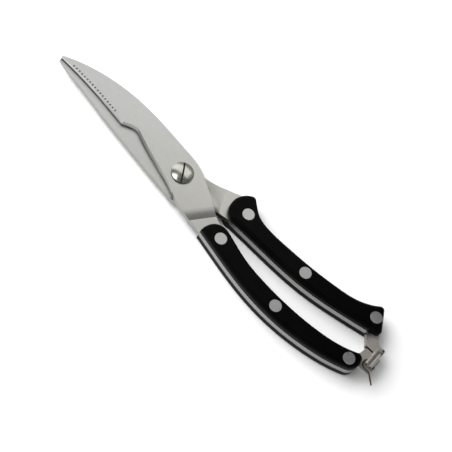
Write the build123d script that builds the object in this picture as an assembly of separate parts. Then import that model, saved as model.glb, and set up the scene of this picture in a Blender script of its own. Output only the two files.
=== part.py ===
from build123d import *
import math
import os

# Spring-opened poultry shears, closed and lying flat, in millimetres.
#
# The origin is on the pivot axis, on the surface that the shears lie on. +X runs from the pivot
# to the tails of the handles, so the blade tips point along -X. +Y is the side of the thumb
# handle, and +Z is up. The top blade crosses the pivot and becomes the finger handle on the -Y
# side. The bottom blade becomes the thumb handle on the +Y side.

# Heights of the layers, from the surface up
SCALE_THICK = 5.0
TANG_THICK = 4.0
TANG_LOW = SCALE_THICK
TANG_HIGH = TANG_LOW + TANG_THICK
TOP = TANG_HIGH + SCALE_THICK
MATING_PLANE = 7.0
BLADE_GAP = 0.1
BLADE_THICK = 3.4
TIP_THINNING = 1.55
TOP_BLADE_LOW = MATING_PLANE + BLADE_GAP / 2
TOP_BLADE_HIGH = TOP_BLADE_LOW + BLADE_THICK
BOTTOM_BLADE_HIGH = MATING_PLANE - BLADE_GAP / 2
BOTTOM_BLADE_LOW = BOTTOM_BLADE_HIGH - BLADE_THICK

# Blades
TIP_X = -103.3
TAPER_START_X = -5.0
TOP_RAMP_ANGLE = -35.0
TOP_RAMP_START = 26.6
TOP_RAMP_END = 30.0
TOP_RAMP_BLEND = 14.0
BOTTOM_RAMP_ANGLE = 24.0
BOTTOM_RAMP_END = 28.0
BOTTOM_RAMP_SIDES = [(-17.0, 27.0), (14.0, 7.6)]
EDGE_LAND = 1.1
HIDDEN_EDGE_LAND = 0.35
BEVEL_RISE = 3.6
FRONT_BEVEL_LEAN = (0.2, 1.7)
REAR_BEVEL_LEAN = (-0.1, 1.5)
LOWER_BEVEL_LEAN = (0.0, -3.2)
SERRATION_COUNT = 17
SERRATION_PITCH = 2.36
SERRATION_FIRST_X = -93.6
SERRATION_LENGTH = 1.2
SERRATION_RADIUS = 0.5
SERRATION_LIFT = 0.1
SERRATION_SETBACK = 1.25
SERRATION_SPREAD = 0.35

# Handles
TOP_SHOULDER_RADIUS = 2.4
BOTTOM_SHOULDER_RADIUS = 1.2
CORNER_RADIUS = 2.6
RIVET_HEAD_RADIUS = 3.8
RIVET_HEAD_THICK = 1.8
RIVET_TUBE_RADIUS = 2.4
RIVET_PIN_RADIUS = 1.6
RIVET_TUBE_TOP = TOP - RIVET_HEAD_THICK - 0.2
RIVET_PIN_END = 3.0
RIVET_PROUD = 0.08
RIVET_SUNK = 0.05
FIT = 0.05
THUMB_FRONT = [(36.6, 0.0), (33.7, 4.8)]
THUMB_LOW_FRONT = [(36.6, -1.7), (34.2, 0.8), (33.5, 4.8)]
FINGER_RIVETS = [(44.0, -17.4), (93.5, -26.2), (144.5, -19.6)]
THUMB_RIVETS = [(45.6, 7.1), (93.5, 3.2), (141.5, 12.5)]

# Pivot
BARREL_RADIUS = 3.0
NUT_RADIUS = 6.5
NUT_CHAMFER = 0.5
SCREW_THREAD_RADIUS = 2.0
SCREW_END = 1.6
SCREW_HEAD_RADIUS = 6.9
SCREW_HEAD_SIDE = 0.6
SCREW_HEAD_DOME = 1.4
SCREW_SLOT_WIDTH = 1.1
SCREW_SLOT_DEPTH = 1.3
SCREW_SLOT_ANGLE = 121.0
WASHER_RADIUS = 6.1
WASHER_THICK = 0.4
HEAD_UNDERSIDE = TOP_BLADE_HIGH + WASHER_THICK + 0.1

# Torsion spring in the recess between the blades
RECESS_RADIUS = 6.6
RECESS_DEPTH = 1.3
SPRING_WIRE_RADIUS = 0.5
SPRING_RADIUS = 5.3
SPRING_SWEEP = 300.0
SPRING_BEND = 0.9
SPRING_LEG = 1.3
SPRING_LEG_FIT = 0.15
OPENING_ANGLE = 30.0

# Latch at the tails
LATCH_PIN_AT = (155.8, -12.4)
LATCH_PIN_RADIUS = 0.8
LATCH_PIN_FOOT_RADIUS = 1.9
LATCH_PIN_FOOT_THICK = 0.7
LATCH_PIN_SPREAD_RADIUS = 0.9
LATCH_PIN_SPREAD_THICK = 0.3
STUD_AT = (155.0, -1.1)
STUD_RADIUS = 1.1
STUD_SHANK_RADIUS = 0.8
STUD_FOOT_RADIUS = 1.4
STUD_FOOT_THICK = 0.5
LATCH_WIRE_RADIUS = 0.5
LATCH_WIRE_LOOP_RADIUS = 3.4
LATCH_WIRE_Z = TANG_HIGH + 0.55
LATCH_LEVER_BEND_X = 158.6
LATCH_LEVER_END = (164.2, -21.0)
HOOK_LOW = 10.1
HOOK_THICK = 0.9
HOOK_PLATE_WIDTH = 5.2
HOOK_PLATE_END = -3.3
HOOK_FOOT = 1.2
HOOK_ROLL_RADIUS = 1.1
HOOK_ROLL_BORE = 0.55
HOOK_ARM_OUT = 158.4
HOOK_ARM_WIDTH = 1.0
HOOK_TIP_X = 156.35
HOOK_TIP_LOW = 0.25
HOOK_TIP_HIGH = 1.1


def closed_face(*edges):
    """A flat face inside a ring of edges that meet end to end."""
    return make_face(Wire([edge for item in edges for edge in item.edges()]))


def upright(face, low, high):
    """The prism over a flat outline, between two heights."""
    return extrude(Pos(0, 0, low) * face, high - low)


def post(at, radius, low, high):
    """A round post about a vertical axis."""
    return Pos(at[0], at[1], (low + high) / 2) * Cylinder(radius, high - low)


def finger_handle_outline():
    """The outline that the finger scales and their tang share."""
    front_and_inner = Spline(
        (32.0, -20.9),
        (32.6, -16.2),
        (35.4, -11.7),
        (40.5, -9.5),
        (46.0, -10.4),
        (60.0, -15.2),
        (80.0, -18.8),
        (100.0, -19.9),
        (120.0, -19.0),
        (135.0, -16.5),
        (147.4, -11.9),
    )
    tail = Spline((147.4, -11.9), (150.6, -13.6), (151.6, -17.0), (150.8, -21.2), (147.6, -24.3))
    outer = Spline(
        (147.6, -24.3),
        (136.0, -28.2),
        (120.0, -31.3),
        (100.0, -32.8),
        (80.0, -31.6),
        (60.0, -28.0),
        (44.0, -24.0),
        (32.0, -20.9),
    )
    return rounded(closed_face(front_and_inner, tail, outer), [(147.4, -11.9)], 2.6)


def thumb_handle_outline(front_lip):
    """The outline of a thumb scale. Only the lip at its front differs from scale to scale."""
    front = Spline((41.0, -2.0), *front_lip, (33.3, 9.8), (35.2, 14.9), (41.5, 19.9))
    outer = Spline(
        (41.5, 19.9),
        (45.4, 16.6),
        (50.6, 12.4),
        (60.0, 9.6),
        (76.0, 9.0),
        (94.0, 9.4),
        (112.0, 11.0),
        (126.0, 13.6),
        (134.0, 17.2),
        (141.4, 23.1),
    )
    end = Line((141.4, 23.1), (151.0, 6.0))
    inner = Spline(
        (151.0, 6.0),
        (140.0, 3.7),
        (122.0, 0.1),
        (106.0, -2.4),
        (91.0, -3.5),
        (74.0, -3.4),
        (56.0, -2.6),
        (41.0, -2.0),
    )
    sharp = [(41.5, 19.9), (141.4, 23.1), (151.0, 6.0)]
    return rounded(closed_face(front, outer, end, inner), sharp, CORNER_RADIUS)


def rounded(face, corners, radius):
    """Rounds the corners of a flat face that lie at the given points."""
    picked = [v for v in face.vertices() if any(math.dist((v.X, v.Y), c) < 0.1 for c in corners)]
    return fillet(picked, radius)


def top_blade_edges():
    """The three stretches of the top blade's cutting edge: front, bone notch and rear."""
    front = Spline((-103.0, 5.3), (-90.0, 4.6), (-75.0, 3.05), (-60.0, 0.75), (-47.5, -1.3))
    notch = Spline((-47.5, -1.3), (-44.0, 0.4), (-39.0, 1.9), (-35.5, 1.2))
    rear = Spline(
        (-35.5, 1.2),
        (-28.0, -2.1),
        (-16.0, -6.5),
        (4.0, -14.0),
        tangents=[notch % 1, (2, -1)],
    )
    return front, notch, rear


def top_blade_outline():
    """Blade, neck and latch tail of the top half, running into the finger handle."""
    front, notch, rear = top_blade_edges()
    heel = Spline((4.0, -14.0), (10.0, -17.1), (20.0, -19.5), (32.0, -20.9))
    inside = Polyline((32.0, -20.9), (42.0, -20.0), (42.0, -9.8), (39.6, -9.4))
    shoulder = Spline((39.6, -9.4), (35.4, -7.2), (31.0, -5.2))
    crossing = Spline((31.0, -5.2), (25.6, -1.5), (19.0, 2.8), (11.4, 7.6))
    spine = Spline(
        (11.4, 7.6),
        (4.0, 11.2),
        (-10.0, 13.8),
        (-30.0, 16.6),
        (-50.0, 18.1),
        (-66.0, 17.3),
        (-82.0, 14.5),
        (-101.8, 7.3),
    )
    tip = Polyline((-101.8, 7.3), (TIP_X, 6.1), (-103.0, 5.3))
    return closed_face(front, notch, rear, heel, inside, shoulder, crossing, spine, tip)


def finger_tail_outline():
    """The tail of the finger tang, which carries the latch's pin."""
    plate = closed_face(
        Polyline(
            (145.0, -14.0),
            (147.8, -9.4),
            (148.6, -4.4),
            (159.6, -4.4),
            (159.6, -14.8),
            (151.0, -14.8),
            (148.0, -20.0),
            (145.0, -14.0),
        )
    )
    return rounded(plate, [(148.6, -4.4), (159.6, -4.4), (159.6, -14.8)], 1.2)


def bottom_blade_edge():
    """The bottom blade's cutting edge, which the closed top blade covers."""
    return Spline((0.0, 9.1), (-30.0, 9.7), (-60.0, 9.9), (-85.0, 8.6), (-101.4, 6.4))


def bottom_blade_outline():
    """Blade and neck of the bottom half, running into the thumb handle."""
    spine = Spline(
        (-103.1, 3.9),
        (-90.0, 0.7),
        (-75.0, -1.9),
        (-60.0, -5.1),
        (-40.0, -8.7),
        (-20.0, -12.2),
        (2.4, -15.8),
    )
    heel = Spline((2.4, -15.8), (7.4, -16.3), (13.0, -12.0), (20.0, -6.4), (29.0, -2.5))
    root = Spline((29.0, -2.5), (32.4, -2.9), (36.0, -2.5), (41.0, -2.0))
    inside = Polyline((41.0, -2.0), (44.0, 2.0), (44.0, 14.0), (38.6, 18.2))
    neck = Spline(
        (38.6, 18.2),
        (34.0, 16.2),
        (27.0, 13.3),
        (20.0, 11.1),
        (11.0, 9.7),
        (0.0, 9.1),
    )
    edge = bottom_blade_edge()
    tip = Polyline((-101.4, 6.4), (-103.0, 5.3), (-103.1, 3.9))
    return closed_face(spine, heel, root, inside, neck, edge, tip)


def thumb_tail_outline():
    """The tail of the thumb tang, which carries the latch's stud."""
    plate = closed_face(
        Polyline(
            (142.6, 4.4),
            (148.0, -3.3),
            (158.4, -3.3),
            (158.4, 2.0),
            (154.0, 2.3),
            (151.6, 4.2),
            (148.6, 9.5),
            (142.6, 9.5),
            (142.6, 4.4),
        )
    )
    return rounded(plate, [(148.0, -3.3), (158.4, -3.3), (158.4, 2.0), (154.0, 2.3)], 1.0)


def top_layer():
    """A long plate that steps down from the top blade to its tang, over a ramp with a soft crest."""
    near, far = -160.0, 220.0
    section = closed_face(
        Polyline(
            (near, TOP_BLADE_LOW),
            (TOP_RAMP_START, TOP_BLADE_LOW),
            (TOP_RAMP_END, TANG_LOW),
            (far, TANG_LOW),
            (far, TANG_HIGH),
            (TOP_RAMP_END, TANG_HIGH),
            (TOP_RAMP_START, TOP_BLADE_HIGH),
            (near, TOP_BLADE_HIGH),
            (near, TOP_BLADE_LOW),
        )
    )
    section = rounded(section, [(TOP_RAMP_START, TOP_BLADE_HIGH)], TOP_RAMP_BLEND)
    return Rot(0, 0, TOP_RAMP_ANGLE) * extrude(Plane.XZ * section, 200, both=True)


def bottom_layer():
    """A long plate that steps up from the bottom blade to its tang, over a wedge-shaped ramp.

    The ramp starts along the edge of the top blade, which lies over it at an angle.
    """
    far = 300.0
    (low_v, low_u), (high_v, high_u) = BOTTOM_RAMP_SIDES
    slant = (high_u - low_u) / (high_v - low_v)
    blade_side = closed_face(
        Polyline(
            (low_u + slant * (-far - low_v), -far),
            (high_u + slant * (far - high_v), far),
            (-far, far),
            (-far, -far),
            (low_u + slant * (-far - low_v), -far),
        )
    )
    tang_side = Pos((BOTTOM_RAMP_END + far) / 2, 0) * Rectangle(far - BOTTOM_RAMP_END, 2 * far)
    ends = []
    for v, u in BOTTOM_RAMP_SIDES:
        quad = closed_face(
            Polyline(
                (u, BOTTOM_BLADE_LOW),
                (BOTTOM_RAMP_END, TANG_LOW),
                (BOTTOM_RAMP_END, TANG_HIGH),
                (u, BOTTOM_BLADE_HIGH),
                (u, BOTTOM_BLADE_LOW),
            )
        )
        ends.append(Plane.XZ.offset(-v) * quad)
    layer = loft(ends, ruled=True)
    layer += upright(blade_side, BOTTOM_BLADE_LOW, BOTTOM_BLADE_HIGH)
    layer += upright(tang_side, TANG_LOW, TANG_HIGH)
    return Rot(0, 0, BOTTOM_RAMP_ANGLE) * layer


def thinning(flat_z, outward):
    """What grinding takes off a blade's outer face, in a long arc from the pivot to the tip."""
    length = TAPER_START_X - TIP_X
    tip_z = flat_z - outward * TIP_THINNING
    middle = (TIP_X + length / 2, flat_z - outward * TIP_THINNING / 4)
    clear_z = flat_z + outward * 3
    section = Plane.XZ * closed_face(
        ThreePointArc((TIP_X, tip_z), middle, (TAPER_START_X, flat_z)),
        Polyline((TAPER_START_X, flat_z), (TAPER_START_X, clear_z), (TIP_X - 2, clear_z)),
        Polyline((TIP_X - 2, clear_z), (TIP_X - 2, tip_z), (TIP_X, tip_z)),
    )
    return extrude(section, 60, both=True)


def bevel(edges, side, low, lean):
    """A slanting prism along a cutting edge that leaves its bevel on the blade."""
    start, finish = edges[0] @ 0, edges[-1] @ 1
    clear = 8 * side
    outer = Polyline(finish, (finish.X, finish.Y - clear), (start.X, start.Y - clear), start)
    direction = Vector(lean[0], lean[1], BEVEL_RISE * side)
    return extrude(Pos(0, 0, low) * closed_face(*edges, outer), direction.length, dir=direction)


def serrations():
    """Short half-round nicks across the top face, just behind the front bevel."""
    front = top_blade_edges()[0]
    nicks = []
    for number in range(SERRATION_COUNT):
        x = SERRATION_FIRST_X + number * SERRATION_PITCH
        share = (x - (front @ 0).X) / ((front @ 1).X - (front @ 0).X)
        on_edge = front @ share
        drop = TIP_THINNING * ((TAPER_START_X - x) / (TAPER_START_X - TIP_X)) ** 2
        setback = SERRATION_SETBACK + SERRATION_SPREAD * share
        axis_z = TOP_BLADE_HIGH - drop + SERRATION_LIFT
        at = Pos(on_edge.X, on_edge.Y + setback, axis_z) * Rot(90, 0, 0)
        nicks.append(at * Cylinder(SERRATION_RADIUS, SERRATION_LENGTH))
    return nicks


def spring_path():
    """The torsion spring's centre line: a leg down, an open ring and a leg up."""
    ring = Pos(0, 0, MATING_PLANE) * CenterArc((0, 0), SPRING_RADIUS, 0, SPRING_SWEEP)
    edges = [ring.edge()]
    for share, up in ((0, -1), (1, 1)):
        corner, along = ring @ share, (ring % share) * up
        middle = corner + along * (SPRING_BEND * math.sqrt(0.5))
        middle += Vector(0, 0, up * SPRING_BEND * (1 - math.sqrt(0.5)))
        bend_end = corner + along * SPRING_BEND + Vector(0, 0, up * SPRING_BEND)
        edges.append(ThreePointArc(corner, middle, bend_end).edge())
        edges.append(Line(bend_end, bend_end + Vector(0, 0, up * SPRING_LEG)).edge())
    return edges


def spring_leg_at(share):
    """Where the spring's lower or upper leg stands, seen from above."""
    leg = spring_path()[2 + 2 * share] @ 1
    return (leg.X, leg.Y)


def spring_slot():
    """The curved slot in the top blade in which the spring's upper leg has room to stay."""
    x, y = spring_leg_at(1)
    arc = CenterArc((0, 0), math.hypot(x, y), math.degrees(math.atan2(y, x)), OPENING_ANGLE)
    slot = SlotArc(arc, 2 * (SPRING_WIRE_RADIUS + SPRING_LEG_FIT))
    roof = MATING_PLANE + SPRING_BEND + SPRING_LEG + 0.1
    return upright(slot, TOP_BLADE_LOW + RECESS_DEPTH - 0.1, roof)


def top_blade():
    """Top blade and finger tang, forged in one piece."""
    outline = top_blade_outline() + finger_handle_outline() + finger_tail_outline()
    body = upright(outline, 0, TOP) & top_layer()
    body -= thinning(TOP_BLADE_HIGH, 1)
    front, notch, rear = top_blade_edges()
    low = TOP_BLADE_LOW + EDGE_LAND
    body -= bevel([front], 1, low, FRONT_BEVEL_LEAN)
    body -= bevel([notch, rear], 1, low, REAR_BEVEL_LEAN)
    body -= serrations()
    body -= post((0, 0), BARREL_RADIUS + FIT, 0, TOP)
    body -= post((0, 0), RECESS_RADIUS, TOP_BLADE_LOW - 1, TOP_BLADE_LOW + RECESS_DEPTH)
    body -= spring_slot()
    for at in FINGER_RIVETS:
        body -= post(at, RIVET_TUBE_RADIUS + FIT, 0, TOP)
    body -= post(LATCH_PIN_AT, LATCH_PIN_RADIUS + FIT, 0, TOP)
    return body


def bottom_blade():
    """Bottom blade and thumb tang, forged in one piece."""
    outline = bottom_blade_outline() + thumb_handle_outline(THUMB_FRONT) + thumb_tail_outline()
    body = upright(outline, 0, TOP) & bottom_layer()
    body -= thinning(BOTTOM_BLADE_LOW, -1)
    low = BOTTOM_BLADE_HIGH - HIDDEN_EDGE_LAND
    body -= bevel([bottom_blade_edge()], -1, low, LOWER_BEVEL_LEAN)
    body -= post((0, 0), BARREL_RADIUS + FIT, 0, TOP)
    body -= post((0, 0), RECESS_RADIUS, BOTTOM_BLADE_HIGH - RECESS_DEPTH, TOP)
    leg_low = MATING_PLANE - SPRING_BEND - SPRING_LEG - 0.1
    body -= post(spring_leg_at(0), SPRING_WIRE_RADIUS + FIT, leg_low, TOP)
    for at in THUMB_RIVETS:
        body -= post(at, RIVET_TUBE_RADIUS + FIT, 0, TOP)
    body -= post(STUD_AT, STUD_SHANK_RADIUS + FIT, 0, TOP)
    return body


def scale(outline, rivets, low, outer_z, shoulder_radius):
    """One moulded handle scale, with rounded shoulders and a counterbored hole per rivet."""
    high = low + SCALE_THICK
    body = upright(outline, low, high)
    shoulder = body.edges().filter_by_position(Axis.Z, outer_z - 0.01, outer_z + 0.01)
    body = fillet(shoulder, shoulder_radius)
    inward = 1 if outer_z == low else -1
    floor = outer_z + inward * RIVET_HEAD_THICK
    for at in rivets:
        body -= post(at, RIVET_TUBE_RADIUS + FIT, low - 1, high + 1)
        body -= post(at, RIVET_HEAD_RADIUS + FIT, min(outer_z, floor), max(outer_z, floor))
    return body


def rivet_head(at):
    """The male half of a cutler's rivet: a flat head on a pin."""
    head = post(at, RIVET_HEAD_RADIUS, TOP - RIVET_HEAD_THICK, TOP + RIVET_PROUD)
    rim = head.edges().filter_by_position(Axis.Z, TOP, TOP + 1)
    return chamfer(rim, 0.15) + post(at, RIVET_PIN_RADIUS, RIVET_PIN_END, TOP - 1)


def rivet_socket(at):
    """The female half of a cutler's rivet: a flat head on a tube."""
    head = post(at, RIVET_HEAD_RADIUS, RIVET_SUNK, RIVET_HEAD_THICK)
    rim = head.edges().filter_by_position(Axis.Z, 0, RIVET_SUNK + 0.01)
    tube = post(at, RIVET_TUBE_RADIUS, RIVET_HEAD_THICK - 0.5, RIVET_TUBE_TOP)
    bore = post(at, RIVET_PIN_RADIUS + FIT, RIVET_PIN_END - 0.3, TOP)
    return chamfer(rim, 0.15) + tube - bore


def pivot_nut():
    """Barrel nut: a flat round head under the bottom blade and the bearing both blades turn on."""
    head_top = BOTTOM_BLADE_LOW - FIT
    head = post((0, 0), NUT_RADIUS, 0, head_top)
    head = chamfer(head.edges().filter_by_position(Axis.Z, -0.01, 0.01), NUT_CHAMFER)
    barrel = post((0, 0), BARREL_RADIUS, head_top - 1, HEAD_UNDERSIDE - 0.02)
    return head + barrel - post((0, 0), SCREW_THREAD_RADIUS + FIT, SCREW_END - 0.3, TOP)


def pivot_screw():
    """Slotted screw with a low domed head, screwed into the barrel nut."""
    side_top = HEAD_UNDERSIDE + SCREW_HEAD_SIDE
    dome_radius = (SCREW_HEAD_RADIUS**2 + SCREW_HEAD_DOME**2) / (2 * SCREW_HEAD_DOME)
    half = SCREW_HEAD_RADIUS / 2
    half_drop = dome_radius - math.sqrt(dome_radius**2 - half**2)
    dome = ThreePointArc(
        (SCREW_HEAD_RADIUS, side_top),
        (half, side_top + SCREW_HEAD_DOME - half_drop),
        (0, side_top + SCREW_HEAD_DOME),
    )
    section = closed_face(
        Polyline((0, side_top + SCREW_HEAD_DOME), (0, SCREW_END), (SCREW_THREAD_RADIUS, SCREW_END)),
        Polyline((SCREW_THREAD_RADIUS, SCREW_END), (SCREW_THREAD_RADIUS, HEAD_UNDERSIDE)),
        Polyline((SCREW_THREAD_RADIUS, HEAD_UNDERSIDE), (SCREW_HEAD_RADIUS, HEAD_UNDERSIDE)),
        Line((SCREW_HEAD_RADIUS, HEAD_UNDERSIDE), (SCREW_HEAD_RADIUS, side_top)),
        dome,
    )
    body = revolve(Plane.XZ * section, Axis.Z)
    slot_z = side_top + SCREW_HEAD_DOME - SCREW_SLOT_DEPTH / 2
    slot = Box(3 * SCREW_HEAD_RADIUS, SCREW_SLOT_WIDTH, SCREW_SLOT_DEPTH)
    return body - Pos(0, 0, slot_z) * Rot(0, 0, SCREW_SLOT_ANGLE) * slot


def pivot_washer():
    """Thin washer between the screw's head and the top blade."""
    low = TOP_BLADE_HIGH + 0.05
    ring = post((0, 0), WASHER_RADIUS, low, low + WASHER_THICK)
    return ring - post((0, 0), BARREL_RADIUS + FIT, 0, TOP)


def pivot_spring():
    """Torsion spring that opens the handles, with a leg in each blade."""
    ring, low_bend, low_leg, high_bend, high_leg = spring_path()
    path = Wire([low_leg, low_bend, ring, high_bend, high_leg])
    section = Plane(path @ 0, z_dir=path % 0) * Circle(SPRING_WIRE_RADIUS)
    return sweep(section, path)


def latch_pin():
    """Pin through the finger tail, on which the latch turns, spread a little at its top."""
    foot_top = TANG_LOW - FIT
    plate_top = HOOK_LOW + HOOK_THICK
    shank = post(LATCH_PIN_AT, LATCH_PIN_RADIUS, foot_top - 0.3, plate_top + FIT)
    foot = post(LATCH_PIN_AT, LATCH_PIN_FOOT_RADIUS, foot_top - LATCH_PIN_FOOT_THICK, foot_top)
    spread_top = plate_top + FIT + LATCH_PIN_SPREAD_THICK
    spread = post(LATCH_PIN_AT, LATCH_PIN_SPREAD_RADIUS, plate_top + FIT, spread_top)
    return shank + foot + spread


def latch_stud():
    """Stud on the thumb tail that the latch hooks over."""
    foot_top = TANG_LOW - FIT
    shank = post(STUD_AT, STUD_SHANK_RADIUS, foot_top - 0.3, TANG_HIGH + 0.3)
    foot = post(STUD_AT, STUD_FOOT_RADIUS, foot_top - STUD_FOOT_THICK, foot_top)
    head = post(STUD_AT, STUD_RADIUS, TANG_HIGH + FIT, HOOK_LOW + HOOK_THICK + 0.2)
    head = fillet(head.edges().filter_by_position(Axis.Z, TANG_HIGH + 1, TOP), 0.4)
    return shank + foot + head


def latch_hook():
    """Folded steel latch: two rolled strips on a plate, with a hook beside the stud."""
    x, y = LATCH_PIN_AT
    left, foot = HOOK_ARM_OUT - HOOK_PLATE_WIDTH, y - HOOK_FOOT
    arm_in = HOOK_ARM_OUT - HOOK_ARM_WIDTH
    outline = closed_face(
        Polyline(
            (left, foot),
            (left, HOOK_PLATE_END),
            (arm_in, HOOK_PLATE_END),
            (arm_in, HOOK_TIP_LOW),
            (HOOK_TIP_X, HOOK_TIP_LOW),
            (HOOK_TIP_X, HOOK_TIP_HIGH),
            (HOOK_ARM_OUT - 0.6, HOOK_TIP_HIGH),
            (HOOK_ARM_OUT, HOOK_TIP_HIGH - 0.6),
            (HOOK_ARM_OUT, foot),
            (left, foot),
        )
    )
    body = upright(outline, HOOK_LOW, HOOK_LOW + HOOK_THICK)
    length = HOOK_PLATE_END - foot
    middle_y = foot + length / 2
    for roll_x in (left + HOOK_ROLL_RADIUS, HOOK_ARM_OUT - HOOK_ROLL_RADIUS):
        roll_at = Pos(roll_x, middle_y, HOOK_LOW + HOOK_ROLL_RADIUS) * Rot(90, 0, 0)
        body += roll_at * Cylinder(HOOK_ROLL_RADIUS, length)
        body -= roll_at * Cylinder(HOOK_ROLL_BORE, length + 1)
    body -= post(LATCH_PIN_AT, LATCH_PIN_SPREAD_RADIUS + FIT, HOOK_LOW + HOOK_THICK, TOP)
    return body - post(LATCH_PIN_AT, LATCH_PIN_RADIUS + FIT, 0, TOP)


def latch_wire():
    """Bent wire under the hook: a loop round the pin that runs out into a finger lever."""
    x, y = LATCH_PIN_AT
    radius = LATCH_WIRE_LOOP_RADIUS
    turn = CenterArc((x, y), radius, 0, 270)
    bend = (LATCH_LEVER_BEND_X, y - radius)
    lever = FilletPolyline((x, y - radius), bend, LATCH_LEVER_END, radius=1.6)
    path = Pos(0, 0, LATCH_WIRE_Z) * Wire([turn, *lever.edges()])
    section = Plane(path @ 0, z_dir=path % 0) * Circle(LATCH_WIRE_RADIUS)
    return sweep(section, path)


def save(name, body):
    """Writes one piece to its own file."""
    export_step(body, f"parts/{name}.step")


os.makedirs("parts", exist_ok=True)
finger = finger_handle_outline()
thumb = thumb_handle_outline(THUMB_FRONT)
thumb_low = thumb_handle_outline(THUMB_LOW_FRONT)
save("top_blade", top_blade())
save("bottom_blade", bottom_blade())
save("finger_scale_top", scale(finger, FINGER_RIVETS, TANG_HIGH, TOP, TOP_SHOULDER_RADIUS))
save("finger_scale_bottom", scale(finger, FINGER_RIVETS, 0, 0, BOTTOM_SHOULDER_RADIUS))
save("thumb_scale_top", scale(thumb, THUMB_RIVETS, TANG_HIGH, TOP, TOP_SHOULDER_RADIUS))
save("thumb_scale_bottom", scale(thumb_low, THUMB_RIVETS, 0, 0, BOTTOM_SHOULDER_RADIUS))
for handle, places in (("finger", FINGER_RIVETS), ("thumb", THUMB_RIVETS)):
    for number, at in enumerate(places, start=1):
        save(f"{handle}_rivet_head_{number}", rivet_head(at))
        save(f"{handle}_rivet_socket_{number}", rivet_socket(at))
save("pivot_nut", pivot_nut())
save("pivot_screw", pivot_screw())
save("pivot_washer", pivot_washer())
save("pivot_spring", pivot_spring())
save("latch_pin", latch_pin())
save("latch_stud", latch_stud())
save("latch_hook", latch_hook())
save("latch_wire", latch_wire())
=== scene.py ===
import math

import bmesh
import bpy
from mathutils import Matrix, Vector


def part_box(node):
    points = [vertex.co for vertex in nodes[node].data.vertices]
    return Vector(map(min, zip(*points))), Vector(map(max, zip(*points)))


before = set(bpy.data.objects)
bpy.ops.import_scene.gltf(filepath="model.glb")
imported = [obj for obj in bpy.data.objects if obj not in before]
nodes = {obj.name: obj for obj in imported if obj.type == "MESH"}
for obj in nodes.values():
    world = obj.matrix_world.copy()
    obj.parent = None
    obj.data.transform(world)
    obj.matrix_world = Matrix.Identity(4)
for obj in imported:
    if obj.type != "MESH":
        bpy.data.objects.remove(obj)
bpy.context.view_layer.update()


# The two blades. Each is forged in one piece with the tang that runs through its handle, in
# stainless steel. The faces are ground along the blade to a satin grain and the blanked edges are
# darker. Painted shade darkens the upright land along the cutting edge, the nicks, the nip of the
# handles and the gap between the two tails.
SATIN_DARK = (0.520, 0.522, 0.510, 1.0)
SATIN_LIGHT = (0.640, 0.640, 0.625, 1.0)
SATIN_ROUGH = (0.31, 0.40)
UNTINTED = (1.0, 1.0, 1.0, 1.0)
NECK_WARMTH = (0.985, 0.975, 0.935, 1.0)
EDGE_STEEL = (0.290, 0.290, 0.282, 1.0)
# The dark colour of the upright land along the cutting edge is painted shade.
LAND_SHADE = (0.170, 0.170, 0.165, 1.0)
# The black of the painted shade laid into the nicks, the tail gap, the nip and the latch's bores,
# and how deep it goes in the nip.
SHADE_BLACK = (0.030, 0.028, 0.025, 1.0)
NIP_SHADE = 0.9
TAIL_STEEL = (0.610, 0.565, 0.520, 1.0)
TAIL_METALLIC = 0.84

# The grain, its patches and its scratches, in cells of noise per metre.
GRAIN_LENGTHWISE, GRAIN_CROSSWISE = 70.0, 3600.0
PATCH_SCALE = 45.0
SCRATCH_STRETCH = (55.0, 1500.0, 1500.0)

# How much each of them shows in the colour, the gloss and the relief.
LINE_SHARE, LINE_SPREAD = 0.45, (0.25, 0.75)
PATCH_SHARE, PATCH_SPREAD = 0.55, (0.35, 0.65)
SCRATCH_LIMITS = (0.70, 0.78)
SCRATCH_DEPTH = 0.8
SCRATCH_POLISH, TANG_EDGE_POLISH = 0.10, 0.12

# Where the finish changes along the shears and across them, in metres.
WARMING = (-0.0600, 0.0100)
NICKS_END, LAND_END, TANG_START = -0.0500, 0.0060, 0.0300
NIP = (0.0380, 0.0500)
NIP_LOW_SIDE = -0.0080
TAIL = (0.1445, 0.1480)
TAIL_GAP = (-0.0050, -0.0026)
FADE, TANG_FADE, GAP_FADE = 0.0010, 0.0020, 0.0002

# Which way the steel faces at its edges, as limits on one part of its normal.
FACE_RISE, EDGE_RISE = 0.50, 0.20
TOWARDS_EDGE = (-0.75, -0.45)
LAND_UPRIGHT = (0.20, 0.32)
NICK_SIDEWAYS, NICK_UPWARD = (0.12, 0.35), (0.05, 0.15)


def finish_of(node_name):
    """The node tree and the shader of a piece's finish."""
    tree = nodes[node_name].data.materials[0].node_tree
    return tree, tree.nodes["Principled BSDF"]


def start_finish(name, *node_names):
    """A new finish on those pieces. Returns its node tree and its shader."""
    finish = bpy.data.materials.new(name)
    finish.use_nodes = True
    for node_name in node_names:
        slots = nodes[node_name].data.materials
        slots.clear()
        slots.append(finish)
    return finish_of(node_names[0])


def feed(tree, node, **inputs):
    """Links or sets a node's inputs, by their names, or by their numbers as _0 and _1."""
    for name, value in inputs.items():
        socket = node.inputs[int(name[1:]) if name[1:].isdigit() else name.replace("_", " ")]
        if isinstance(value, bpy.types.NodeSocket):
            tree.links.new(value, socket)
        else:
            socket.default_value = value


def add(tree, kind, settings=None, **inputs):
    """A node of that kind, with its settings and its inputs. Returns its outputs."""
    node = tree.nodes.new(kind)
    for name, value in (settings or {}).items():
        setattr(node, name, value)
    feed(tree, node, **inputs)
    return node.outputs


def mixed(tree, share, first, second, blend="MIX"):
    """The colour between two colours at that share, or another blend of them."""
    settings = {"data_type": "RGBA", "blend_type": blend}
    return add(tree, "ShaderNodeMix", settings, _0=share, _6=first, _7=second)[2]


def ranged(tree, value, low, high, start=0.3, end=0.7):
    """The value brought from start..end to low..high."""
    limits = {"From_Min": start, "From_Max": end, "To_Min": low, "To_Max": high}
    return add(tree, "ShaderNodeMapRange", Value=value, **limits)["Result"]


def rising(tree, value, start, end):
    """A mask that is 0 up to start and 1 from end on."""
    return ranged(tree, value, 0.0, 1.0, start, end)


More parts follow.
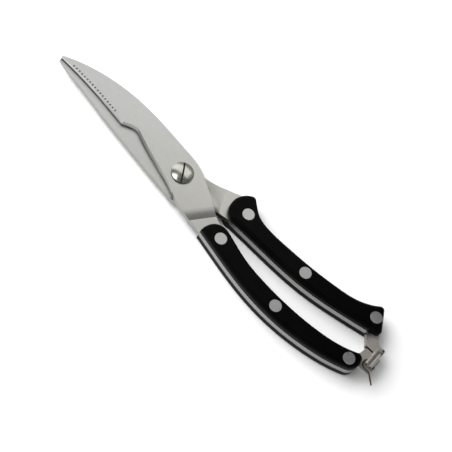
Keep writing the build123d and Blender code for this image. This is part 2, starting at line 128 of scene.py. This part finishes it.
def falling(tree, value, start, end):
    """A mask that is 1 up to start and 0 from end on."""
    return ranged(tree, value, 1.0, 0.0, start, end)


def combined(tree, operation, first, *others):
    """The values taken in turn through one operation, such as ADD, MULTIPLY or MAXIMUM."""
    for value in others:
        first = add(tree, "ShaderNodeMath", {"operation": operation}, _0=first, _1=value)["Value"]
    return first


def unsigned(tree, value):
    """The value without its sign."""
    return add(tree, "ShaderNodeMath", {"operation": "ABSOLUTE"}, _0=value)["Value"]


def scaled(tree, vector, factors):
    """The vector with each of its parts multiplied by its own factor."""
    return add(
        tree, "ShaderNodeVectorMath", {"operation": "MULTIPLY"}, _0=vector, _1=factors
    )["Vector"]


def turned(tree, place, angle):
    """The place turned about the upright axis."""
    return add(
        tree, "ShaderNodeVectorRotate", {"rotation_type": "Z_AXIS"}, Vector=place, Angle=angle
    )["Vector"]


def parts_of(tree, vector):
    """The X, Y and Z of a vector."""
    parts = add(tree, "ShaderNodeSeparateXYZ", Vector=vector)
    return parts["X"], parts["Y"], parts["Z"]


def press_relief(tree, shader, height, strength, depth=0.00002):
    """Relief of that height in the shader's surface."""
    bump = add(tree, "ShaderNodeBump", Strength=strength, Distance=depth, Height=height)
    feed(tree, shader, Normal=bump["Normal"])


def start_group(name, inputs, outputs):
    """A node group whose inputs are (name, kind, value), and whose outputs are all floats.

    Returns the group, what its inputs give, and the node that its outputs are fed to.
    """
    group = bpy.data.node_groups.new(name, "ShaderNodeTree")
    for label, kind, value in inputs:
        socket = group.interface.new_socket(
            label, in_out="INPUT", socket_type=f"NodeSocket{kind}"
        )
        if value is not None:
            socket.default_value = value
    for label in outputs:
        group.interface.new_socket(label, in_out="OUTPUT", socket_type="NodeSocketFloat")
    given = group.nodes.new("NodeGroupInput").outputs
    return group, given, group.nodes.new("NodeGroupOutput")


def grind_group():
    """Grinding lines along one direction, the cloudy patches left between passes, and scratches."""
    group, given, made = start_group(
        "ground grain",
        [
            ("Place", "Vector", None),
            ("Angle", "Float", 0.0),
            ("Lengthwise", "Float", GRAIN_LENGTHWISE),
            ("Crosswise", "Float", GRAIN_CROSSWISE),
            ("Patch Scale", "Float", PATCH_SCALE),
        ],
        ["Lines", "Patches", "Scratches"],
    )
    along_grain = turned(group, given["Place"], given["Angle"])
    stretch = add(
        group,
        "ShaderNodeCombineXYZ",
        X=given["Lengthwise"],
        Y=given["Crosswise"],
        Z=given["Crosswise"],
    )["Vector"]
    lines = add(
        group,
        "ShaderNodeTexNoise",
        Vector=scaled(group, along_grain, stretch),
        Scale=1.0,
        Detail=3.0,
        Roughness=0.65,
    )["Fac"]
    patches = add(
        group,
        "ShaderNodeTexNoise",
        Vector=given["Place"],
        Scale=given["Patch Scale"],
        Detail=3.0,
        Roughness=0.55,
        Distortion=0.4,
    )["Fac"]
    sparse = add(
        group,
        "ShaderNodeTexNoise",
        Vector=scaled(group, along_grain, SCRATCH_STRETCH),
        Scale=1.0,
        Detail=1.0,
        Distortion=0.3,
    )["Fac"]
    scratches = rising(group, sparse, *SCRATCH_LIMITS)
    feed(group, made, Lines=lines, Patches=patches, Scratches=scratches)
    return group


def side_group():
    """A mask that is 0 on faces that look straight up or down and 1 on the edges round them."""
    group, given, made = start_group(
        "blanked edge",
        [("Start", "Float", FACE_RISE), ("End", "Float", EDGE_RISE)],
        ["Edge"],
    )
    upward = parts_of(group, add(group, "ShaderNodeTexCoord")["Normal"])[2]
    mask = add(
        group,
        "ShaderNodeMapRange",
        {"interpolation_type": "SMOOTHSTEP"},
        Value=unsigned(group, upward),
        From_Min=given["Start"],
        From_Max=given["End"],
    )
    feed(group, made, Edge=mask["Result"])
    return group


ground_grain = grind_group()
blanked_edge = side_group()


def blade_face(tree, along, lines, patches):
    """The satin face's colour, a little warmer from the middle of the blade to the neck."""
    tone = combined(
        tree,
        "ADD",
        ranged(tree, lines, 0.0, LINE_SHARE, *LINE_SPREAD),
        ranged(tree, patches, 0.0, PATCH_SHARE, *PATCH_SPREAD),
    )
    tint = mixed(tree, rising(tree, along, *WARMING), UNTINTED, NECK_WARMTH)
    return mixed(tree, 1.0, mixed(tree, tone, SATIN_DARK, SATIN_LIGHT), tint, "MULTIPLY")


def blade_rim(tree, along, facing, land_share):
    """The blanked edge's colour, with painted shade on the upright land along the cutting edge."""
    land = combined(
        tree,
        "MULTIPLY",
        falling(tree, facing[1], *TOWARDS_EDGE),
        falling(tree, along, LAND_END, LAND_END + FADE),
        falling(tree, facing[2], *LAND_UPRIGHT),
        land_share,
    )
    return mixed(tree, land, EDGE_STEEL, LAND_SHADE)


def shade_on_blade(tree, along, across, facing, edge, tail):
    """Painted shade in the nicks, in the gap between the tails and in the nip of the handles."""
    in_nicks = combined(
        tree,
        "MULTIPLY",
        rising(tree, unsigned(tree, facing[0]), *NICK_SIDEWAYS),
        rising(tree, facing[2], *NICK_UPWARD),
        falling(tree, along, NICKS_END, NICKS_END + FADE),
    )
    in_gap = combined(
        tree,
        "MULTIPLY",
        rising(tree, across, TAIL_GAP[0], TAIL_GAP[0] + GAP_FADE),
        falling(tree, across, TAIL_GAP[1] - GAP_FADE, TAIL_GAP[1]),
        edge,
        tail,
    )
    in_nip = combined(
        tree,
        "MULTIPLY",
        rising(tree, along, TANG_START - FADE, TANG_START),
        ranged(tree, along, NIP_SHADE, 0.0, *NIP),
        falling(tree, facing[1], *TOWARDS_EDGE),
        edge,
        rising(tree, across, NIP_LOW_SIDE, NIP_LOW_SIDE + FADE),
    )
    return combined(tree, "MAXIMUM", in_nicks, in_gap, in_nip)


def satin_steel(name, node_name, angle, land_share):
    """Ground stainless steel, with its grain along the blade that it is on.

    The share says how much painted shade darkens the land along the cutting edge.
    """
    tree, steel = start_finish(name, node_name)
    surface = add(tree, "ShaderNodeTexCoord")
    along, across, _ = parts_of(tree, surface["Object"])
    facing = parts_of(tree, surface["Normal"])
    grain = add(
        tree,
        "ShaderNodeGroup",
        {"node_tree": ground_grain},
        Place=surface["Object"],
        Angle=angle,
        Lengthwise=GRAIN_LENGTHWISE,
        Crosswise=GRAIN_CROSSWISE,
    )
    lines, patches, scratches = grain["Lines"], grain["Patches"], grain["Scratches"]
    edge = add(tree, "ShaderNodeGroup", {"node_tree": blanked_edge})["Edge"]
    tail = rising(tree, along, *TAIL)

    face = mixed(tree, tail, blade_face(tree, along, lines, patches), TAIL_STEEL)
    bare = mixed(tree, edge, face, blade_rim(tree, along, facing, land_share))
    # Painted shade over the bare steel, in the nicks, the gap between the tails and the nip.
    painted_shade = shade_on_blade(tree, along, across, facing, edge, tail)
    tang_edge = combined(
        tree, "MULTIPLY", edge, rising(tree, along, TANG_START, TANG_START + TANG_FADE)
    )
    rough = combined(
        tree,
        "ADD",
        ranged(tree, patches, *SATIN_ROUGH),
        ranged(tree, tang_edge, 0.0, -TANG_EDGE_POLISH, 0.0, 1.0),
        ranged(tree, scratches, 0.0, -SCRATCH_POLISH, 0.0, 1.0),
    )
    feed(
        tree,
        steel,
        Base_Color=mixed(tree, painted_shade, bare, SHADE_BLACK),
        Metallic=ranged(tree, tail, 1.0, TAIL_METALLIC, 0.0, 1.0),
        Roughness=rough,
    )
    height = combined(tree, "ADD", lines, ranged(tree, scratches, 0.0, -SCRATCH_DEPTH, 0.0, 1.0))
    press_relief(tree, steel, height, strength=0.35, depth=0.00003)


satin_steel("satin steel, top blade", "top_blade", angle=math.radians(7.0), land_share=1.0)
satin_steel("satin steel, bottom blade", "bottom_blade", angle=math.radians(-4.0), land_share=0.0)


# The four handle scales. They are moulded in hard black plastic with a fine, even texture and
# rounded shoulders, and two of them hold each tang between them.
SCALE_BLACK = (0.0006, 0.0006, 0.0006, 1.0)
SCALE_WORN = (0.0014, 0.0013, 0.0012, 1.0)
SCALE_ROUGH = (0.30, 0.38)
TEXTURE_ROUGH = 0.03
HANDLED_SPREAD = (0.45, 0.75)


def moulded_black(name, *node_names):
    """Moulded black plastic, finely pebbled, and a little paler where hands have rubbed it."""
    tree, plastic = start_finish(name, *node_names)
    place = add(tree, "ShaderNodeTexCoord")["Object"]
    texture = add(
        tree, "ShaderNodeTexNoise", Vector=place, Scale=1900.0, Detail=2.0, Roughness=0.5
    )["Fac"]
    pebbles = add(
        tree,
        "ShaderNodeTexVoronoi",
        {"feature": "SMOOTH_F1"},
        Vector=place,
        Scale=1500.0,
        Smoothness=0.6,
    )["Distance"]
    handled = add(
        tree, "ShaderNodeTexNoise", Vector=place, Scale=38.0, Detail=4.0, Distortion=0.8
    )["Fac"]
    worn = rising(tree, handled, *HANDLED_SPREAD)
    rough = combined(
        tree,
        "ADD",
        ranged(tree, handled, *SCALE_ROUGH),
        ranged(tree, texture, 0.0, TEXTURE_ROUGH),
    )
    feed(
        tree,
        plastic,
        Base_Color=mixed(tree, worn, SCALE_BLACK, SCALE_WORN),
        Roughness=rough,
        Specular_IOR_Level=0.05,
    )
    press_relief(tree, plastic, combined(tree, "ADD", texture, pebbles), strength=0.12)


moulded_black("moulded black, finger handle", "finger_scale_top", "finger_scale_bottom")
moulded_black("moulded black, thumb handle", "thumb_scale_top", "thumb_scale_bottom")


# The six cutler's rivets, each a head half on top and a socket half below, pressed together
# through the handle. Their heads are nickel silver, faced on a lathe and ground nearly flush.
RIVET_DARK = (0.500, 0.502, 0.495, 1.0)
RIVET_LIGHT = (0.640, 0.640, 0.630, 1.0)
LATHE_RINGS = 2600.0
RING_SHARE, WEAR_SHARE = 0.5, 0.5


def distance_from(tree, place, centre, axes):
    """How far the place is from a centre, along those axes alone."""
    apart = add(
        tree, "ShaderNodeVectorMath", {"operation": "SUBTRACT"}, _0=place, _1=centre
    )["Vector"]
    flat = scaled(tree, apart, axes)
    return add(tree, "ShaderNodeVectorMath", {"operation": "LENGTH"}, _0=flat)["Value"]


def turning_group():
    """Fine rings left by a lathe round a centre, and the wear that blurs them."""
    group, given, made = start_group(
        "lathe rings",
        [
            ("Place", "Vector", None),
            ("Centre", "Vector", None),
            ("Rings", "Float", LATHE_RINGS),
        ],
        ["Rings", "Wear"],
    )
    radius = distance_from(group, given["Place"], given["Centre"], (1.0, 1.0, 0.0))
    rings = add(
        group,
        "ShaderNodeTexNoise",
        {"noise_dimensions": "1D"},
        W=combined(group, "MULTIPLY", radius, given["Rings"]),
        Detail=2.0,
    )["Fac"]
    wear = add(
        group, "ShaderNodeTexNoise", Vector=given["Place"], Scale=420.0, Detail=4.0
    )["Fac"]
    feed(group, made, Rings=rings, Wear=wear)
    return group


lathe_rings = turning_group()


def turned_metal(name, node_name, dark, light, rough, rings=LATHE_RINGS, relief=0.25):
    """Metal faced on a lathe, with rings about the piece's own axis."""
    tree, metal = start_finish(name, node_name)
    low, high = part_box(node_name)
    faced = add(
        tree,
        "ShaderNodeGroup",
        {"node_tree": lathe_rings},
        Place=add(tree, "ShaderNodeTexCoord")["Object"],
        Centre=(low + high) / 2,
        Rings=rings,
    )
    tone = combined(
        tree,
        "ADD",
        ranged(tree, faced["Rings"], 0.0, RING_SHARE),
        ranged(tree, faced["Wear"], 0.0, WEAR_SHARE),
    )
    feed(
        tree,
        metal,
        Base_Color=mixed(tree, tone, dark, light),
        Roughness=ranged(tree, faced["Wear"], *rough),
        Metallic=1.0,
    )
    press_relief(tree, metal, faced["Rings"], strength=relief)


for handle in ("finger", "thumb"):
    for number in (1, 2, 3):
        for half in ("head", "socket"):
            turned_metal(
                f"rivet, {handle} {half} {number}",
                f"{handle}_rivet_{half}_{number}",
                RIVET_DARK,
                RIVET_LIGHT,
                rough=(0.32, 0.42),
            )


# The pivot. A slotted screw with a low domed head goes through a thin washer and both blades
# into a barrel nut. Screw and nut are turned from steel and polished, and a torsion spring of
# round wire sits in the recess between the blades.
SCREW_DARK = (0.520, 0.525, 0.460, 1.0)
SCREW_LIGHT = (0.700, 0.700, 0.640, 1.0)
SPRING_DARK = (0.300, 0.295, 0.285, 1.0)
SPRING_LIGHT = (0.460, 0.450, 0.430, 1.0)
SCREW_RINGS = 1800.0
# Painted shade in the bottom of the screw's slot, and the rougher surface there.
SLOT_SHADE = (0.060, 0.058, 0.048, 1.0)
SLOT_SHADE_ROUGH = 0.7
SLOT_ANGLE = math.radians(121.0)
SLOT_HALF = 0.00055
SLOT_FLOOR = 0.01165
SLOT_INNER_FADE, SLOT_OUTER_FADE = 0.00005, 0.00003
SLOT_SHADE_DEEP, SLOT_SHADE_SHALLOW = 0.0001, 0.0009


def fed_by(shader, name):
    """What a shader's input is linked to now."""
    return shader.inputs[name].links[0].from_socket


def shade_the_slot():
    """Painted shade in the bottom of the screw's slot, over the polished finish, where the surface
    is also rougher.
    """
    tree, metal = finish_of("pivot_screw")
    place = add(tree, "ShaderNodeTexCoord")["Object"]
    _, aside, height = parts_of(tree, turned(tree, place, -SLOT_ANGLE))
    in_slot = falling(
        tree, unsigned(tree, aside), SLOT_HALF - SLOT_INNER_FADE, SLOT_HALF + SLOT_OUTER_FADE
    )
    deep = falling(tree, height, SLOT_FLOOR + SLOT_SHADE_DEEP, SLOT_FLOOR + SLOT_SHADE_SHALLOW)
    slot_shade = combined(tree, "MULTIPLY", in_slot, deep)
    rough = add(
        tree,
        "ShaderNodeMix",
        {"data_type": "FLOAT"},
        _0=slot_shade,
        _2=fed_by(metal, "Roughness"),
        _3=SLOT_SHADE_ROUGH,
    )[0]
    colour = mixed(tree, slot_shade, fed_by(metal, "Base Color"), SLOT_SHADE)
    feed(tree, metal, Base_Color=colour, Roughness=rough)


turned_metal(
    "polished screw",
    "pivot_screw",
    SCREW_DARK,
    SCREW_LIGHT,
    rough=(0.17, 0.27),
    rings=SCREW_RINGS,
    relief=0.18,
)
shade_the_slot()
turned_metal(
    "polished nut",
    "pivot_nut",
    SCREW_DARK,
    SCREW_LIGHT,
    rough=(0.22, 0.32),
    rings=SCREW_RINGS,
    relief=0.2,
)
turned_metal(
    "plain washer",
    "pivot_washer",
    SPRING_DARK,
    SPRING_LIGHT,
    rough=(0.30, 0.40),
    rings=2400.0,
    relief=0.25,
)
turned_metal(
    "spring wire",
    "pivot_spring",
    SPRING_DARK,
    SPRING_LIGHT,
    rough=(0.28, 0.38),
    rings=900.0,
    relief=0.1,
)


# The latch that keeps the handles shut. A folded plate with two rolled strips turns on a pin
# through the finger handle's tail, and its arm hooks over a stud on the thumb handle's tail.
# All three have one plating, dulled to a brownish grey, and painted shade darkens the bores of the
# rolls.
PLATE_DARK = (0.330, 0.318, 0.285, 1.0)
PLATE_LIGHT = (0.520, 0.504, 0.460, 1.0)
DRAWN_SHARE, BLOTCH_SHARE = 0.4, 0.6
# Where the bores of the two rolls are, which get painted shade.
ROLL_X = (0.1543, 0.1573)
ROLL_Z = 0.0112
ROLL_BORE = 0.00058
BORE_FADE = 0.0001


def dulled_metal(name, node_name, dark, light, rough, metallic):
    """Metal with a dulled, slightly blotched surface and fine drawing lines."""
    tree, metal = start_finish(name, node_name)
    grain = add(
        tree,
        "ShaderNodeGroup",
        {"node_tree": ground_grain},
        Place=add(tree, "ShaderNodeTexCoord")["Object"],
        Angle=math.radians(90.0),
        Lengthwise=260.0,
        Crosswise=4200.0,
        Patch_Scale=330.0,
    )
    tone = combined(
        tree,
        "ADD",
        ranged(tree, grain["Lines"], 0.0, DRAWN_SHARE),
        ranged(tree, grain["Patches"], 0.0, BLOTCH_SHARE),
    )
    smooth, coarse = rough
    feed(
        tree,
        metal,
        Base_Color=mixed(tree, tone, dark, light),
        Roughness=ranged(tree, grain["Patches"], coarse, smooth),
        Metallic=metallic,
    )
    press_relief(tree, metal, grain["Lines"], strength=0.3)


def shade_the_bores():
    """Painted shade inside the bores of the two rolled strips, over the dulled plating."""
    tree, metal = finish_of("latch_hook")
    place = add(tree, "ShaderNodeTexCoord")["Object"]
    bores = []
    for roll_x in ROLL_X:
        radius = distance_from(tree, place, (roll_x, 0.0, ROLL_Z), (1.0, 0.0, 1.0))
        bores.append(falling(tree, radius, ROLL_BORE, ROLL_BORE + BORE_FADE))
    inside = combined(tree, "MAXIMUM", *bores)
    feed(tree, metal, Base_Color=mixed(tree, inside, fed_by(metal, "Base Color"), SHADE_BLACK))


for latch_part in ("hook", "pin", "stud"):
    dulled_metal(
        f"dulled plating, {latch_part}",
        f"latch_{latch_part}",
        PLATE_DARK,
        PLATE_LIGHT,
        rough=(0.30, 0.42),
        metallic=0.82,
    )
shade_the_bores()


# The latch's wire. It is a round spring wire, browned by oil and heat, that loops round the pin
# under the plate and runs out into the short lever that a finger pushes.
WIRE_DARK = (0.050, 0.040, 0.036, 1.0)
WIRE_LIGHT = (0.120, 0.098, 0.088, 1.0)
dulled_metal(
    "browned wire", "latch_wire", WIRE_DARK, WIRE_LIGHT, rough=(0.34, 0.48), metallic=0.85
)


# The studio. The shears lie flat on a plain white floor, under a soft key and a fill from the
# tips' end. The flat faces mirror one softbox, and the screw's dome mirrors a small card.
FLOOR_HALF = 6.0
FLOOR_Z = -0.0001
FLOOR_WHITE = (0.79, 0.79, 0.79, 1.0)
KEY_STRENGTH = 2.2
KEY_ANGLE = math.radians(75.0)
KEY_FROM = Vector((-0.85, -0.20, 0.85))
KEY_AIM = Vector((0.0, 0.0, 0.0))
FILL_CENTRE = Vector((-0.62, -0.06, 0.66))
FILL_AIM = Vector((0.03, 0.0, 0.0))
FILL_SIZE = (0.8, 0.8)
FILL_RADIANCE = 4.6
CARD_CENTRE = Vector((-0.125, -0.075, 0.330))
CARD_AIM = Vector((0.0, 0.0, 0.012))
CARD_SIZE = (0.13, 0.13)
CARD_RADIANCE = 3.2
SOFTBOX_CENTRE = Vector((-0.165, 0.2475, 0.300))
SOFTBOX_SIZE = (0.540, 0.305)
SOFTBOX_RADIANCE = 1.00
SKY_LEVELS = ((0.50, 0.85), (0.72, 0.75), (0.93, 0.19), (1.0, 0.19))
DARK = (0.0, 0.0, 0.0, 1.0)
FAR_SIDE = (-0.3, 0.7)
FAR_SIDE_SHARE = 0.35

floor_shape = bmesh.new()
bmesh.ops.create_grid(
    floor_shape,
    x_segments=1,
    y_segments=1,
    size=FLOOR_HALF,
    matrix=Matrix.Translation((0.0, 0.0, FLOOR_Z)),
)
floor_mesh = bpy.data.meshes.new("floor")
floor_shape.to_mesh(floor_mesh)
floor_shape.free()
floor = bpy.data.objects.new("floor", floor_mesh)
bpy.context.scene.collection.objects.link(floor)
paper = bpy.data.materials.new("white paper")
paper.use_nodes = True
feed(
    paper.node_tree,
    paper.node_tree.nodes["Principled BSDF"],
    Base_Color=FLOOR_WHITE,
    Roughness=0.9,
    Specular_IOR_Level=0.0,
)
floor_mesh.materials.append(paper)


def add_light(name, kind, place, aim=None, **settings):
    """A light at a place, turned towards its aim, or straight down without one."""
    data = bpy.data.lights.new(name, kind)
    for setting, value in settings.items():
        setattr(data, setting, value)
    light = bpy.data.objects.new(name, data)
    bpy.context.scene.collection.objects.link(light)
    turn = Matrix()
    if aim is not None:
        turn = (aim - place).to_track_quat("-Z", "Y").to_matrix().to_4x4()
    light.matrix_world = Matrix.Translation(place) @ turn
    return light


def add_panel(name, place, size, radiance, aim=None):
    """A flat light of that width and depth, whose face has that radiance all over."""
    width, depth = size
    return add_light(
        name,
        "AREA",
        place,
        aim,
        shape="RECTANGLE",
        size=width,
        size_y=depth,
        energy=radiance * math.pi * width * depth,
    )


key = add_light("key", "SUN", KEY_FROM, KEY_AIM, energy=KEY_STRENGTH, angle=KEY_ANGLE)
key.visible_glossy = False
fill = add_panel("fill", FILL_CENTRE, FILL_SIZE, FILL_RADIANCE, FILL_AIM)
fill.visible_glossy = False
add_panel("screw card", CARD_CENTRE, CARD_SIZE, CARD_RADIANCE, CARD_AIM)
add_panel("softbox", SOFTBOX_CENTRE, SOFTBOX_SIZE, SOFTBOX_RADIANCE)

sky = bpy.data.worlds.new("studio")
sky.use_nodes = True
bpy.context.scene.world = sky
sky_tree = sky.node_tree
_, towards, rise = parts_of(sky_tree, add(sky_tree, "ShaderNodeTexCoord")["Generated"])
levels = sky_tree.nodes.new("ShaderNodeValToRGB")
feed(sky_tree, levels, Fac=rising(sky_tree, rise, -1.0, 1.0))
ramp = levels.color_ramp
ramp.interpolation = "EASE"
while len(ramp.elements) < len(SKY_LEVELS):
    ramp.elements.new(0.5)
for stop, (position, level) in zip(ramp.elements, SKY_LEVELS):
    stop.position = position
    stop.color = (level, level, level, 1.0)
far_side = ranged(sky_tree, towards, 1.0, FAR_SIDE_SHARE, *FAR_SIDE)
studio_light = mixed(sky_tree, far_side, DARK, levels.outputs["Color"])
feed(sky_tree, sky_tree.nodes["Background"], Color=studio_light)

bpy.context.scene.view_settings.view_transform = "Standard"


# The camera looks down on the shears from the finger side, rolled so that they run from the upper
# left to the lower right.
CAMERA_RISE = math.radians(60.5)
CAMERA_TURN = math.radians(11.0)
CAMERA_ROLL = math.radians(32.2)
CAMERA_TARGET = Vector((0.040446, -0.006218, 0.0090))
CAMERA_DISTANCE = 0.67647
CAMERA_LENS = 91.6
CAMERA_SENSOR = 36.0
CAMERA_CLIP = (0.01, 50.0)

rightward = Vector((math.cos(CAMERA_TURN), math.sin(CAMERA_TURN), 0.0))
away = Vector((-math.sin(CAMERA_TURN), math.cos(CAMERA_TURN), 0.0))
upward = Vector((0.0, 0.0, 1.0))
back = upward * math.sin(CAMERA_RISE) - away * math.cos(CAMERA_RISE)
level_up = away * math.sin(CAMERA_RISE) + upward * math.cos(CAMERA_RISE)
camera_right = rightward * math.cos(CAMERA_ROLL) + level_up * math.sin(CAMERA_ROLL)
camera_up = level_up * math.cos(CAMERA_ROLL) - rightward * math.sin(CAMERA_ROLL)
camera_data = bpy.data.cameras.new("camera")
camera_data.lens = CAMERA_LENS
camera_data.sensor_width = CAMERA_SENSOR
camera_data.clip_start, camera_data.clip_end = CAMERA_CLIP
camera = bpy.data.objects.new("camera", camera_data)
bpy.context.scene.collection.objects.link(camera)
camera_turn = Matrix((camera_right, camera_up, back)).transposed().to_4x4()
camera.matrix_world = Matrix.Translation(CAMERA_TARGET + back * CAMERA_DISTANCE) @ camera_turn
bpy.context.scene.camera = camera
